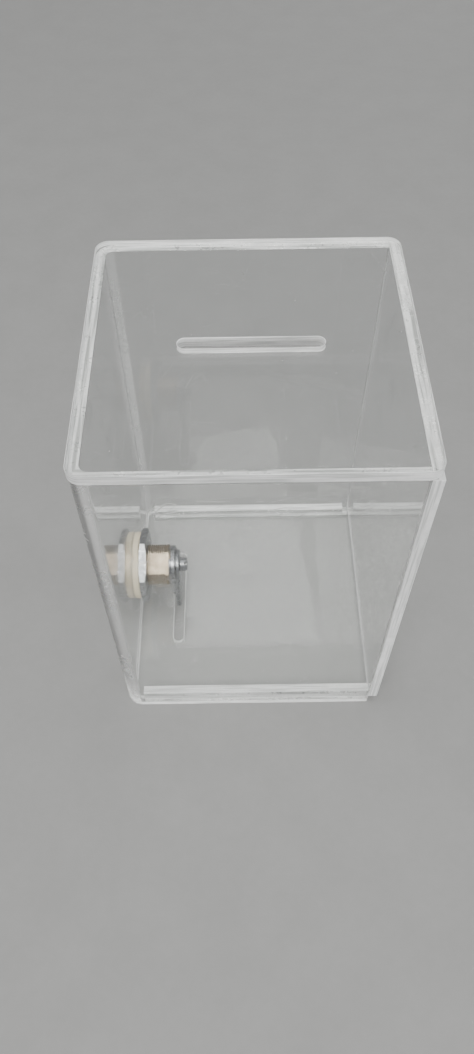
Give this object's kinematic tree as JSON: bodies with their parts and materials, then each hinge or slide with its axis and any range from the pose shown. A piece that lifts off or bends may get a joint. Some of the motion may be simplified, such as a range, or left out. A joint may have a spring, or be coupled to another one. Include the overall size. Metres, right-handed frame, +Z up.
{
  "type": "donation box",
  "caption": "Clear acrylic donation box with a money slot in its top and a base plate that slides out, held by a cam lock in one side wall.",
  "frame": {"origin": "on the standing surface, under the middle of the whole object's box", "axes": "+Z up, +X along the front to the right, away from the lock, +Y from the front to the back"},
  "size_m": [0.1186, 0.115, 0.168],
  "materials": {
    "clear_acrylic": "clear cast sheet, polished faces, frosted sawn edges",
    "nickel": "satin nickel plate on die-cast zinc",
    "zinc": "bright zinc plate",
    "nylon": "natural nylon",
    "brass": "stamped brass",
    "spring_steel": "plain drawn wire"
  },
  "bodies": {
    "shell": {"top_plate": "clear_acrylic", "wall_wrap": "clear_acrylic", "right_wall": "clear_acrylic", "front_lower_rail": "clear_acrylic", "front_upper_rail": "clear_acrylic", "back_lower_rail": "clear_acrylic", "back_upper_rail": "clear_acrylic", "lock_barrel": "nickel", "nylon_washer": "nylon", "lock_nut": "zinc"},
    "base": {"base_plate": "clear_acrylic"},
    "plug": {"lock_plug": "nickel", "wafer_1": "brass", "wafer_2": "brass", "wafer_3": "brass", "wafer_4": "brass", "wafer_spring_1": "spring_steel", "wafer_spring_2": "spring_steel", "wafer_spring_3": "spring_steel", "wafer_spring_4": "spring_steel", "stop_washer": "zinc", "lock_cam": "zinc", "cam_washer": "zinc", "cam_screw": "zinc"}
  },
  "joints": [
    {"name": "base_slide", "type": "slide", "parent": "shell", "child": "base", "axis": [1, 0, 0], "range_m": [0, 0.112]},
    {"name": "lock_turn", "type": "hinge", "parent": "shell", "child": "plug", "pos_m": [-0.05575, 0, 0.034], "axis": [1, 0, 0], "range_deg": [0, 90]}
  ]
}
